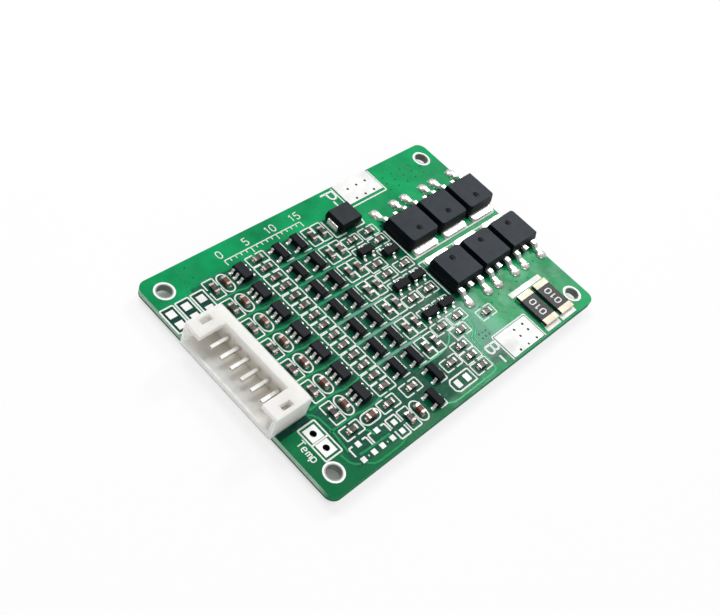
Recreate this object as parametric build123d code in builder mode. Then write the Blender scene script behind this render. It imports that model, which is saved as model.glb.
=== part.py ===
from build123d import *
import os
from math import atan2, tan

os.makedirs("parts", exist_ok=True)

# A battery management board in millimetres. The long side lies along X and the short side
# along Y. The underside of the board is z = 0, the components stand on its upper face, and
# the origin is the middle of the four mounting holes.

# Circuit board
board_length = 60.0
board_width = 40.0
board_thickness = 1.2
board_corner_radius = 1.5
mount_inset_x = 2.75
mount_inset_y = 2.95
mount_hole_diameter = 2.2
mount_ring_diameter = 3.1
copper_thickness = 0.05

left_edge = -board_length / 2
right_edge = board_length / 2
back_edge = board_width / 2
front_edge = -board_width / 2
board_top = board_thickness
mount_spacing_x = board_length - 2 * mount_inset_x
mount_spacing_y = board_width - 2 * mount_inset_y

# Side entry header for the cell wires
pin_count = 8
pin_pitch = 2.0
pin_size = 0.5
pin_tip_chamfer = 0.12
pin_bend_radius = 0.5
pin_height = 2.3
pin_reach = 3.2
pin_tail_below_board = 1.3
pin_hole_diameter = 0.85
pin_hole_sides = 8
header_overhang = 0.95
header_centre_y = 0.25
header_end_margin = 2.0
header_depth = 6.5
header_height = 4.4
header_side_wall = 0.65
header_floor = 1.0
header_roof = 0.9
header_roof_setback = 0.2
header_back_wall = 1.9
header_roof_end = 2.9
header_back_chamfer = 0.5
header_window_length = 1.8
header_window_width = 0.9
header_window_from_front = 1.8
header_edge_radius = 0.2
solder_base_diameter = 1.6
solder_tip_diameter = 0.84
solder_height = 0.8
solder_rim = 0.1
solder_sides = 8

header_length = (pin_count - 1) * pin_pitch + 2 * header_end_margin
header_front = left_edge - header_overhang
header_back = header_front + header_depth
header_cavity_back = header_back - header_back_wall
header_near_end = header_centre_y - header_length / 2
tail_x = header_back - header_back_wall / 2

# Two holes for the temperature sensor, in the room between the header and a mounting hole
sensor_from_left = 4.4
sensor_hole_pitch = 2.5
sensor_hole_diameter = 1.0
sensor_pad_size = 2.1
sensor_room_share = 0.744

# Solder pads for the two power wires
discharge_pad_from_right = 17.9
discharge_pad_length = 7.8
discharge_pad_depth = 4.4
battery_pad_from_right = 17.6
battery_pad_length = 7.6
battery_pad_depth = 4.3
battery_pad_inset = 0.4

# Bare pads of places that hold no component
jumper_from_left = 1.05
jumper_pitch = 2.6
jumper_along = 31.0
jumper_pad_length = 1.2
jumper_pad_width = 1.25
jumper_pad_spacing = 2.0
jumper_count = 3
spare_pad_size = 0.8
spare_chip_spacing = 1.6
spare_link_spacing = 2.0
spare_link_pad_length = 1.0
spare_transistor_spacing_x = 2.0
spare_transistor_spacing_y = 2.1

# Power transistors in two facing rows, each on its copper slug
mosfet_columns = 3
mosfet_gap = 0.6
mosfet_overhang = 0.3
mosfet_back_row_along = 15.9
mosfet_front_row_along = -8.0
mosfet_width = 6.6
mosfet_length = 6.1
mosfet_height = 2.4
mosfet_standoff = 0.05
mosfet_corner_radius = 0.8
mosfet_lead_height = 0.85
mosfet_lead_thickness = 0.5
mosfet_lead_width = 0.76
mosfet_lead_pitch = 2.286
mosfet_lead_reach = 2.75
mosfet_foot = 1.4
mosfet_stub = 0.8
mosfet_draft = 12
mosfet_dimple_diameter = 1.1
mosfet_dimple_depth = 0.1
mosfet_dimple_offset = 1.2
mosfet_dimple_sides = 12
slug_width = 5.3
slug_thickness = 0.45
slug_under_body = 4.4
tab_length = 1.1
tab_chamfer = 0.4

# Current sense resistors
shunt_count = 2
shunt_pitch = 4.15
shunt_from_right = 8.67
shunt_from_front = 4.4
shunt_length = 6.4
shunt_width = 3.2
shunt_height = 0.65
shunt_terminal_length = 1.05
shunt_terminal_skin = 0.08

# Small moulded packages
lead_draft = 8
small_standoff = 0.08
monitor_length = 2.9
monitor_width = 1.6
monitor_height = 1.15
monitor_lead_width = 0.4
monitor_lead_pitch = 0.95
monitor_lead_reach = 0.62
transistor_length = 2.9
transistor_width = 1.3
transistor_height = 1.05
transistor_lead_width = 0.42
transistor_lead_pitch = 1.9
transistor_lead_reach = 0.56
small_lead_thickness = 0.14
small_lead_height = 0.6
small_foot = 0.32

# Chip resistors and capacitors
chip_length = 1.6
chip_width = 0.8
resistor_height = 0.47
resistor_skin = 0.04
resistor_terminal_length = 0.32
capacitor_height = 0.8
capacitor_skin = 0.04
capacitor_terminal_length = 0.36

# Protection diode
diode_across = 85.2
diode_along = 34.0
diode_length = 4.4
diode_width = 3.7
diode_height = 2.1
diode_standoff = 0.2
diode_draft = 8
diode_lead_height = 1.05
diode_lead_thickness = 0.2
diode_lead_width = 2.1
diode_foot = 0.9

# The field of small parts lies between the header and the power transistors. Places in it
# are percentages: across from the header, and along Y from the board's middle.
row_count = 7
row_pitch = 10.15
first_row_along = 34.4
filter_resistor_across = 9.6
filter_capacitor_across = 15.9
monitor_across = 24.9
gate_resistor_across = 36.3
gate_resistor_spread = 2.5
bleed_transistor_across = 46.8
signal_transistor_across = 57.5
pull_resistor_across = 66.4
load_resistor_across = 72.4
rows = [first_row_along - row_pitch * i for i in range(row_count)]

mosfet_pitch = mosfet_width + mosfet_gap
mosfet_right = right_edge + mosfet_overhang
field_left = header_back
field_right = mosfet_right - mosfet_columns * mosfet_width - (mosfet_columns - 1) * mosfet_gap


def along_board(percent):
    """A place along Y, from the board's middle."""
    return percent / 100 * board_width


def in_field(across, along):
    """A place in the field of small parts, as x and y."""
    return (field_left + across / 100 * (field_right - field_left), along_board(along))


def standing(x, y, turn=0):
    """A place on the board's upper face."""
    return Location((x, y, board_top), (0, 0, turn))


def spot(across, along, turn=0):
    """A place on the board's upper face in the field of small parts."""
    return standing(*in_field(across, along), turn)


# Places outside the rows, in the part of the board that drives the power transistors
driver_resistor_spots = [
    spot(81.0, 24.8), spot(92.4, 24.8), spot(92.6, 19.4),
    spot(81.0, 11.0), spot(81.0, 5.5), spot(92.6, 5.6),
    spot(81.0, -8.2), spot(91.9, -8.2),
    spot(81.0, -23.4), spot(92.0, -23.4),
    spot(87.3, -28.6), spot(106.1, -28.5),
    spot(81.0, -33.5), spot(81.0, -38.5), spot(81.0, -43.8),
    spot(70.2, -36.4), spot(45.8, -35.0), spot(31.9, -35.0), spot(10.5, -35.0),
    spot(34.2, -43.2, 90),
]
driver_transistor_spots = [
    spot(81.3, 17.9, 90), spot(91.9, 12.8, -90),
    spot(81.3, -1.5, 90), spot(91.9, -1.5, 90),
    spot(81.3, -16.8, 90), spot(91.9, -16.8, 90),
    spot(59.0, -35.9), spot(49.5, -43.1),
]
cell_resistor_spots = [
    place
    for along in rows
    for place in (
        spot(filter_resistor_across, along, 90),
        spot(gate_resistor_across, along + gate_resistor_spread),
        spot(gate_resistor_across, along - gate_resistor_spread),
        spot(pull_resistor_across, along, 90),
        spot(load_resistor_across, along, 90),
    )
]
capacitor_spots = [spot(filter_capacitor_across, along, 90) for along in rows]
capacitor_spots += [spot(21.2, -35.0), spot(40.3, -43.2, 90)]
bleed_transistor_spots = [spot(bleed_transistor_across, along) for along in rows]
signal_transistor_spots = [spot(signal_transistor_across, along) for along in rows]
spare_chip_place = in_field(27.4, -43.3)
spare_link_place = in_field(67.7, -44.0)
spare_transistor_places = [in_field(8.1, -42.6), in_field(18.8, -42.6)]


def moulded_body(size_x, size_y, height, standoff, band_height, band, draft, corner_radius=0):
    """A moulded package: a parting band at the leads, with drafted halves above and below."""
    with BuildPart() as body:
        with BuildSketch(Plane.XY.offset(band_height - band / 2)) as outline:
            Rectangle(size_x, size_y)
            if corner_radius:
                fillet(outline.vertices().group_by(Axis.Y)[0], corner_radius)
        extrude(amount=band)
        top = body.faces().sort_by(Axis.Z)[-1]
        extrude(top, amount=height - band_height - band / 2, taper=draft)
        bottom = body.faces().sort_by(Axis.Z)[0]
        extrude(bottom, amount=band_height - band / 2 - standoff, taper=draft)
    return body.part


def gull_wing(reach, foot, width, thickness, height):
    """A formed lead that leaves its body at x = 0 and stands on its foot at z = 0."""
    slope_end = reach - foot
    slope_start = slope_end / 2
    angle = atan2(height - thickness / 2, slope_end - slope_start)
    corner = thickness / 2 * tan(angle / 2)
    upper = height + thickness / 2
    under = height - thickness / 2
    with BuildPart() as lead:
        with BuildSketch(Plane.XZ):
            with BuildLine():
                Polyline(
                    (0, upper), (slope_start + corner, upper), (slope_end + corner, thickness),
                    (reach, thickness), (reach, 0), (slope_end - corner, 0),
                    (slope_start - corner, under), (0, under), close=True,
                )
            make_face()
        extrude(amount=width / 2, both=True)
    return lead.part


def wrapped_terminals(length, width, height, skin, wrap):
    """The pair of metal ends of a chip, each folded over the top and under the bottom."""
    with BuildPart() as ends:
        with BuildSketch(Plane.XZ):
            with Locations((length / 2 - wrap / 2, height / 2)):
                Rectangle(wrap, height)
            with Locations((length / 2 - skin - wrap / 2, height / 2)):
                Rectangle(wrap, height - 2 * skin, mode=Mode.SUBTRACT)
        extrude(amount=width / 2, both=True)
        mirror(about=Plane.YZ)
    return ends.part


def end_caps(length, width, height, wrap):
    """The pair of plain metal ends of a small chip."""
    with BuildPart() as caps:
        with Locations((length / 2 - wrap / 2, 0, height / 2), (wrap / 2 - length / 2, 0, height / 2)):
            Box(wrap, width, height)
    return caps.part


def chip_core(length, width, height, skin):
    """The ceramic slab of a chip, set back from its metal ends above and below."""
    with BuildPart() as core:
        with Locations((0, 0, height / 2)):
            Box(length, width, height - 2 * skin)
    return core.part


def placed(shape, spots):
    """Separate copies of one shape, kept as one group."""
    with BuildPart() as group:
        with Locations(*spots):
            add(shape)
    return group.part


def keep(shape, name):
    shape.label = name
    export_step(shape, f"parts/{name}.step")


# Header pins: square wire with a bend inside the back wall and a tail through the board
with BuildPart() as header_pin:
    with BuildLine(Plane.XZ) as wire:
        FilletPolyline(
            (header_cavity_back - pin_reach, board_top + pin_height),
            (tail_x, board_top + pin_height),
            (tail_x, -pin_tail_below_board),
            radius=pin_bend_radius,
        )
    with BuildSketch(Plane(origin=wire.line @ 0, x_dir=(0, 1, 0), z_dir=wire.line % 0)):
        Rectangle(pin_size, pin_size)
    sweep()
    chamfer(header_pin.faces().sort_by(Axis.X)[0].edges(), pin_tip_chamfer)
    chamfer(header_pin.faces().sort_by(Axis.Z)[0].edges(), pin_tip_chamfer)

pin_rows = [header_centre_y + pin_pitch * (i - (pin_count - 1) / 2) for i in range(pin_count)]
pin_spots = [Location((0, y, 0)) for y in pin_rows]
for number, place in enumerate(pin_spots, start=1):
    keep(placed(header_pin.part, [place]), f"header_pin_{number}")

# Room for one bent pin inside the back wall of the housing
pin_under = board_top + pin_height - pin_size / 2
pin_upper = board_top + pin_height + pin_size / 2
tail_front = tail_x - pin_size / 2
tail_back = tail_x + pin_size / 2
bend_room = pin_bend_radius - pin_size / 2
with BuildPart() as pin_channel:
    with BuildSketch(Plane.XZ):
        with BuildLine():
            Polyline(
                (header_cavity_back, pin_under), (header_cavity_back, pin_upper),
                (tail_back, pin_upper), (tail_back, board_top), (tail_front, board_top),
                (tail_front, pin_under - bend_room), (tail_front - bend_room, pin_under), close=True,
            )
        make_face()
    extrude(amount=pin_size / 2, both=True)

# Header housing: a tray open to the front, with a roof only over its two ends
cavity_length = header_length - 2 * header_side_wall
roof_gap = header_length - 2 * header_roof_end
cavity_depth = header_cavity_back - header_front
floor_top = board_top + header_floor
roof_under = board_top + header_height - header_roof
with BuildPart() as header_housing:
    with BuildSketch(Plane.XY.offset(board_top)):
        with Locations((header_front + header_depth / 2, header_centre_y)):
            Rectangle(header_depth, header_length)
    extrude(amount=header_height)
    top_edges = header_housing.edges().filter_by(Axis.Y).group_by(Axis.Z)[-1]
    chamfer(top_edges.sort_by(Axis.X)[-1], header_back_chamfer)
    fillet(header_housing.edges().filter_by(Axis.Z), header_edge_radius)
    with BuildSketch(Plane.XY.offset(floor_top)):
        with Locations((header_front + cavity_depth / 2, header_centre_y)):
            Rectangle(cavity_depth, cavity_length)
    extrude(amount=roof_under - floor_top, mode=Mode.SUBTRACT)
    with BuildSketch(Plane.XY.offset(roof_under)):
        with Locations((header_front + cavity_depth / 2, header_centre_y)):
            Rectangle(cavity_depth, roof_gap)
        with Locations((header_front + header_roof_setback / 2, header_centre_y)):
            Rectangle(header_roof_setback, header_length)
    extrude(amount=header_roof, mode=Mode.SUBTRACT)
    window_x = header_front + header_window_from_front + header_window_length / 2
    window_y = cavity_length / 2 - header_window_width / 2
    with BuildSketch(Plane.XY.offset(roof_under)):
        with Locations((window_x, header_centre_y)):
            with Locations((0, window_y), (0, -window_y)):
                Rectangle(header_window_length, header_window_width)
    extrude(amount=header_roof, mode=Mode.SUBTRACT)
    with Locations(*pin_spots):
        add(pin_channel.part, mode=Mode.SUBTRACT)
keep(header_housing.part, "header_housing")

# Solder joint at each pin tail under the board
with BuildPart() as solder_joint:
    with BuildSketch():
        RegularPolygon(solder_base_diameter / 2, solder_sides, major_radius=False)
    extrude(amount=-solder_height)
    solder_end = solder_joint.faces().sort_by(Axis.Z)[0]
    chamfer(
        solder_end.edges(), (solder_base_diameter - solder_tip_diameter) / 2,
        solder_height - solder_rim, reference=solder_end,
    )
    with BuildSketch():
        Rectangle(pin_size, pin_size)
    extrude(amount=-solder_height, mode=Mode.SUBTRACT)
tail_spots = [Location((tail_x, y, 0)) for y in pin_rows]
keep(placed(solder_joint.part, tail_spots), "header_solder_joints")

# Bare board with its holes
sensor_x = left_edge + sensor_from_left
sensor_span = sensor_hole_pitch + sensor_pad_size
ring_top = front_edge + mount_inset_y + mount_ring_diameter / 2
sensor_room = header_near_end - ring_top - sensor_span
sensor_y = header_near_end - sensor_room * sensor_room_share - sensor_span / 2
with BuildPart() as circuit_board:
    with BuildSketch():
        RectangleRounded(board_length, board_width, board_corner_radius)
        with GridLocations(mount_spacing_x, mount_spacing_y, 2, 2):
            Circle(mount_hole_diameter / 2, mode=Mode.SUBTRACT)
        with Locations(*[(tail_x, y) for y in pin_rows]):
            RegularPolygon(pin_hole_diameter / 2, pin_hole_sides, mode=Mode.SUBTRACT)
        with Locations((sensor_x, sensor_y)), GridLocations(0, sensor_hole_pitch, 1, 2):
            Circle(sensor_hole_diameter / 2, mode=Mode.SUBTRACT)
    extrude(amount=board_thickness)
keep(circuit_board.part, "circuit_board")

# Tinned rings round the mounting holes
with BuildPart() as mount_rings:
    with BuildSketch(Plane.XY.offset(board_top)):
        with GridLocations(mount_spacing_x, mount_spacing_y, 2, 2):
            Circle(mount_ring_diameter / 2)
            Circle(mount_hole_diameter / 2, mode=Mode.SUBTRACT)
    extrude(amount=copper_thickness)
keep(mount_rings.part, "mount_rings")

# Square tinned pads round the sensor holes
with BuildPart() as sensor_pads:
    with BuildSketch(Plane.XY.offset(board_top)):
        with Locations((sensor_x, sensor_y)), GridLocations(0, sensor_hole_pitch, 1, 2):
            Rectangle(sensor_pad_size, sensor_pad_size)
            Circle(sensor_hole_diameter / 2, mode=Mode.SUBTRACT)
    extrude(amount=copper_thickness)
keep(sensor_pads.part, "sensor_pads")

# Tinned pads that the power wires are soldered to
with BuildPart() as discharge_pad:
    with BuildSketch(Plane.XY.offset(board_top)):
        with Locations((right_edge - discharge_pad_from_right, back_edge - discharge_pad_depth / 2)):
            Rectangle(discharge_pad_length, discharge_pad_depth)
    extrude(amount=copper_thickness)
keep(discharge_pad.part, "discharge_pad")

battery_pad_y = front_edge + battery_pad_inset + battery_pad_depth / 2
with BuildPart() as battery_pad:
    with BuildSketch(Plane.XY.offset(board_top)):
        with Locations((right_edge - battery_pad_from_right, battery_pad_y)):
            Rectangle(battery_pad_length, battery_pad_depth)
    extrude(amount=copper_thickness)
keep(battery_pad.part, "battery_pad")

# Bare pads: three links beside the header, and the places of parts that are left off
jumper_middle = left_edge + jumper_from_left + jumper_pitch * (jumper_count - 1) / 2
with BuildPart() as bare_pads:
    with BuildSketch(Plane.XY.offset(board_top)):
        with Locations((jumper_middle, along_board(jumper_along))):
            with GridLocations(jumper_pitch, jumper_pad_spacing, jumper_count, 2):
                Rectangle(jumper_pad_width, jumper_pad_length)
        with Locations(spare_chip_place):
            with GridLocations(0, spare_chip_spacing, 1, 2):
                Rectangle(spare_pad_size, spare_pad_size)
        with Locations(spare_link_place):
            with GridLocations(spare_link_spacing, 0, 2, 1):
                Rectangle(spare_link_pad_length, jumper_pad_width)
        with Locations(*spare_transistor_places):
            with Locations(
                (0, spare_transistor_spacing_y / 2),
                (-spare_transistor_spacing_x / 2, -spare_transistor_spacing_y / 2),
                (spare_transistor_spacing_x / 2, -spare_transistor_spacing_y / 2),
            ):
                Rectangle(spare_pad_size, spare_pad_size)
    extrude(amount=copper_thickness)
keep(bare_pads.part, "bare_pads")

# Power transistor, drawn with its tab towards -Y and its leads towards +Y
body_front = -mosfet_length / 2
body_back = mosfet_length / 2
with BuildPart() as mosfet_slug:
    with BuildSketch() as slug_outline:
        with Locations((0, body_front + (slug_under_body - tab_length) / 2)):
            Rectangle(slug_width, slug_under_body + tab_length)
        chamfer(slug_outline.vertices().group_by(Axis.Y)[0], tab_chamfer)
    extrude(amount=slug_thickness)

mosfet_lead = gull_wing(
    mosfet_lead_reach, mosfet_foot, mosfet_lead_width, mosfet_lead_thickness, mosfet_lead_height
)
with BuildPart() as mosfet_metal:
    add(mosfet_slug.part)
    with Locations(
        Location((-mosfet_lead_pitch, body_back, 0), (0, 0, 90)),
        Location((mosfet_lead_pitch, body_back, 0), (0, 0, 90)),
    ):
        add(mosfet_lead)
    with Locations((0, body_back + mosfet_stub / 2, mosfet_lead_height)):
        Box(mosfet_lead_width, mosfet_stub, mosfet_lead_thickness)

with BuildPart() as mosfet_body:
    add(moulded_body(
        mosfet_width, mosfet_length, mosfet_height, mosfet_standoff,
        mosfet_lead_height, mosfet_lead_thickness, mosfet_draft, mosfet_corner_radius,
    ))
    add(mosfet_slug.part, mode=Mode.SUBTRACT)
    with BuildSketch(Plane.XY.offset(mosfet_height)):
        with Locations((0, -mosfet_dimple_offset)):
            RegularPolygon(mosfet_dimple_diameter / 2, mosfet_dimple_sides)
    extrude(amount=-mosfet_dimple_depth, mode=Mode.SUBTRACT)

mosfet_spots = [
    standing(mosfet_right - mosfet_width / 2 - mosfet_pitch * i, along_board(along), turn)
    for along, turn in ((mosfet_back_row_along, 0), (mosfet_front_row_along, 180))
    for i in range(mosfet_columns)
]
for number, place in enumerate(mosfet_spots, start=1):
    keep(placed(mosfet_body.part, [place]), f"mosfet_body_{number}")
    keep(placed(mosfet_metal.part, [place]), f"mosfet_metal_{number}")

# Current sense resistors, side by side between the transistors and the battery pad
shunt_core = chip_core(
    shunt_length - 2 * shunt_terminal_skin, shunt_width, shunt_height, shunt_terminal_skin
)
shunt_ends = wrapped_terminals(
    shunt_length, shunt_width, shunt_height, shunt_terminal_skin, shunt_terminal_length
)
for number in range(1, shunt_count + 1):
    shunt_x = right_edge - shunt_from_right + shunt_pitch * (number - 1.5)
    place = standing(shunt_x, front_edge + shunt_from_front, 90)
    keep(placed(shunt_core, [place]), f"shunt_core_{number}")
    keep(placed(shunt_ends, [place]), f"shunt_terminals_{number}")

# Protection diode with its two leads folded under the body
diode_spot = spot(diode_across, diode_along)
with BuildPart() as diode_lead:
    lead_top = diode_lead_height + diode_lead_thickness / 2
    with BuildSketch(Plane.XZ) as diode_lead_outline:
        with BuildLine():
            Polyline(
                (0, lead_top), (diode_lead_thickness, lead_top), (diode_lead_thickness, 0),
                (-diode_foot, 0), (-diode_foot, diode_lead_thickness), (0, diode_lead_thickness),
                close=True,
            )
        make_face()
        fillet(diode_lead_outline.vertices().group_by(Axis.X)[-1], diode_lead_thickness * 0.6)
    extrude(amount=diode_lead_width / 2, both=True)
with BuildPart() as diode_terminals:
    with Locations(diode_spot):
        with Locations(
            Location((diode_length / 2, 0, 0)), Location((-diode_length / 2, 0, 0), (0, 0, 180))
        ):
            add(diode_lead.part)
keep(diode_terminals.part, "diode_terminals")
diode_shape = moulded_body(
    diode_length, diode_width, diode_height, diode_standoff,
    diode_lead_height, diode_lead_thickness, diode_draft,
)
keep(placed(diode_shape, [diode_spot]), "diode_body")

# Six lead monitor chip at the start of each cell row
monitor_shape = moulded_body(
    monitor_width, monitor_length, monitor_height, small_standoff,
    small_lead_height, small_lead_thickness, lead_draft,
)
monitor_lead = gull_wing(
    monitor_lead_reach, small_foot, monitor_lead_width, small_lead_thickness, small_lead_height
)
monitor_lead_rows = [monitor_lead_pitch * i for i in (-1, 0, 1)]
monitor_lead_set = placed(
    monitor_lead,
    [Location((monitor_width / 2, y, 0)) for y in monitor_lead_rows]
    + [Location((-monitor_width / 2, y, 0), (0, 0, 180)) for y in monitor_lead_rows],
)
for number, along in enumerate(rows, start=1):
    keep(placed(monitor_shape, [spot(monitor_across, along)]), f"monitor_body_{number}")
    keep(placed(monitor_lead_set, [spot(monitor_across, along)]), f"monitor_leads_{number}")

# Three lead transistors, drawn with their pair of leads towards -X
transistor_shape = moulded_body(
    transistor_width, transistor_length, transistor_height, small_standoff,
    small_lead_height, small_lead_thickness, lead_draft,
)
transistor_lead = gull_wing(
    transistor_lead_reach, small_foot, transistor_lead_width, small_lead_thickness, small_lead_height
)
transistor_leads = placed(
    transistor_lead,
    [
        Location((transistor_width / 2, 0, 0)),
        Location((-transistor_width / 2, transistor_lead_pitch / 2, 0), (0, 0, 180)),
        Location((-transistor_width / 2, -transistor_lead_pitch / 2, 0), (0, 0, 180)),
    ],
)
for name, spots in (
    ("bleed_transistor", bleed_transistor_spots),
    ("signal_transistor", signal_transistor_spots),
    ("driver_transistor", driver_transistor_spots),
):
    keep(placed(transistor_shape, spots), f"{name}_bodies")
    keep(placed(transistor_leads, spots), f"{name}_leads")

# Chip resistors and ceramic capacitors
resistor_core = chip_core(
    chip_length - 2 * resistor_terminal_length, chip_width, resistor_height, resistor_skin
)
resistor_ends = end_caps(chip_length, chip_width, resistor_height, resistor_terminal_length)
for name, spots in (
    ("cell_resistor", cell_resistor_spots),
    ("driver_resistor", driver_resistor_spots),
):
    keep(placed(resistor_core, spots), f"{name}_cores")
    keep(placed(resistor_ends, spots), f"{name}_terminals")

capacitor_core = chip_core(
    chip_length - 2 * capacitor_terminal_length, chip_width - 2 * capacitor_skin,
    capacitor_height, capacitor_skin,
)
capacitor_ends = end_caps(chip_length, chip_width, capacitor_height, capacitor_terminal_length)
keep(placed(capacitor_core, capacitor_spots), "capacitor_cores")
keep(placed(capacitor_ends, capacitor_spots), "capacitor_terminals")
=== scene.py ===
from math import cos, hypot, pi, radians, sin

import bpy
from mathutils import Matrix, Quaternion, Vector


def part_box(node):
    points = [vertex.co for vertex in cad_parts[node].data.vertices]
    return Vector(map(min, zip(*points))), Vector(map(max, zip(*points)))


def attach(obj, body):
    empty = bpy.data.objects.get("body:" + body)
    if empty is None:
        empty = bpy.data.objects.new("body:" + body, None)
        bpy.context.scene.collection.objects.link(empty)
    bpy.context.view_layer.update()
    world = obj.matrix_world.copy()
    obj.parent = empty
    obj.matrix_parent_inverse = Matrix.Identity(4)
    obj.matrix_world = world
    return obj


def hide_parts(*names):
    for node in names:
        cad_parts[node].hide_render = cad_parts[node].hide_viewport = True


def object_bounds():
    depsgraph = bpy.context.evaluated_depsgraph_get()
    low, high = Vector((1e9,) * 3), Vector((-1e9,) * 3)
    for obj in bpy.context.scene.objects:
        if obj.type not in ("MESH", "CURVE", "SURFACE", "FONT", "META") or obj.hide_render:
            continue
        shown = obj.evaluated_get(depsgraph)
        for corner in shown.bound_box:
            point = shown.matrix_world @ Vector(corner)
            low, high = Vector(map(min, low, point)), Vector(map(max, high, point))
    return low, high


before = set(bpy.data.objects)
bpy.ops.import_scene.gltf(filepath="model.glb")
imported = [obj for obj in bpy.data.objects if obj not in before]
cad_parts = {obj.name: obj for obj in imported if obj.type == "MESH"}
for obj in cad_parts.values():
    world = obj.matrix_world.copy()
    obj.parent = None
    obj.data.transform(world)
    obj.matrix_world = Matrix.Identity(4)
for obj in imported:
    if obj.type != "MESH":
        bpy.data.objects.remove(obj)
CAD_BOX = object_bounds()

# Lengths are millimetres, and MM turns them into the metres of the scene
MM = 0.001
BOARD_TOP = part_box("circuit_board")[1].z / MM
FLOOR_HEIGHT = CAD_BOX[0].z / MM
HALF_WIDTH = 20.0
ROW_PITCH = 4.06
LINK_COLUMNS = (-28.95, -26.35, -23.75)

# The numbered parts, and the kinds of three-lead transistors
PINS = range(1, 9)
MONITORS = range(1, 8)
POWER_PARTS = range(1, 7)
FAR_POWER_PARTS = (1, 2, 3)
SHUNTS = (1, 2)
TRANSISTOR_KINDS = ("bleed", "signal", "driver")

# Print, tracks and thin plates on the board
PRINT_WIDTH = 0.26
MARK_WIDTH = 0.30
LETTER_WIDTH = 0.42
FINE_PRINT_WIDTH = 0.2
SHUNT_PRINT_WIDTH = 0.24
PRINT_HEIGHT = 0.03
SHUNT_PRINT_HEIGHT = 0.02
TRACK_HEIGHT = 0.02
TRACK_WIDTH = 0.45
POUR_EDGE_WIDTH = 0.2
POUR_WIDTH = 0.62
CURVE_WIDTH = 0.34
CURVE_GAP = 0.75
PLATE_HEIGHT = 0.03
DISC_HEIGHT = 0.04
WIRE_PAD_HEIGHT = 0.04
DOT_RADIUS = 0.23
VIA_RADIUS = 0.14

# Holes and their linings, the painted shade in the dimples of the power transistors, and the chips
RING_BORE = 1.14
RING_RIM = 1.27
SENSOR_BORE = 0.54
DIMPLE_RADIUS = 0.38
DIMPLE_OFFSET = 1.2
DIMPLE_X = -0.1
DIMPLE_Y = 0.08
CHIP_HALF_LENGTH = 0.8
CHIP_DROP = (0.30, 0.42, 0.28)
LEAD_DROP = (0.34, 0.34, 0.2)
POWER_DROP = (0.98, 0.98, 0.55)

# Rectangles of the board, as limits across x and along y
CELL_FIELD = ((-24.2, 9.2), (-18.6, 15.4))
DIODE_CORNER = ((7.4, 12.0), (9.2, 17.0))
POURED_CORNER = ((3.6, 12.0), (-17.0, -7.5))
SHADED_FLOOR = ((-29.0, 29.0), (-19.0, 19.0))


def centre(box):
    """Middle of a box, in millimetres."""
    return (box[0] + box[1]) / 2 / MM


def solids(node):
    """Boxes of a node's separate solids, as lowest and highest corners."""
    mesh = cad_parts[node].data
    keys = [tuple(round(value, 6) for value in vertex.co) for vertex in mesh.vertices]
    leader = {}

    def find(key):
        while leader.get(key, key) != key:
            key = leader[key]
        return key

    for polygon in mesh.polygons:
        first = find(keys[polygon.vertices[0]])
        for index in polygon.vertices[1:]:
            other = find(keys[index])
            if other != first:
                leader[other] = first
    groups = {}
    for key in set(keys):
        groups.setdefault(find(key), []).append(key)
    boxes = []
    for points in groups.values():
        low = Vector(min(point[axis] for point in points) for axis in range(3))
        high = Vector(max(point[axis] for point in points) for axis in range(3))
        boxes.append((low, high))
    return sorted(boxes, key=lambda box: (round(box[0].x, 5), round(box[0].y, 5)))


def power_leads(number):
    """Boxes of a power transistor's two outer leads, the long and narrow solids of its metal."""
    boxes = []
    for low, high in solids(f"mosfet_metal_{number}"):
        size = (high - low) / MM
        if size.x < 1.0 and size.y > 2.0:
            boxes.append((low, high))
    return boxes


# Material helpers


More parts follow.
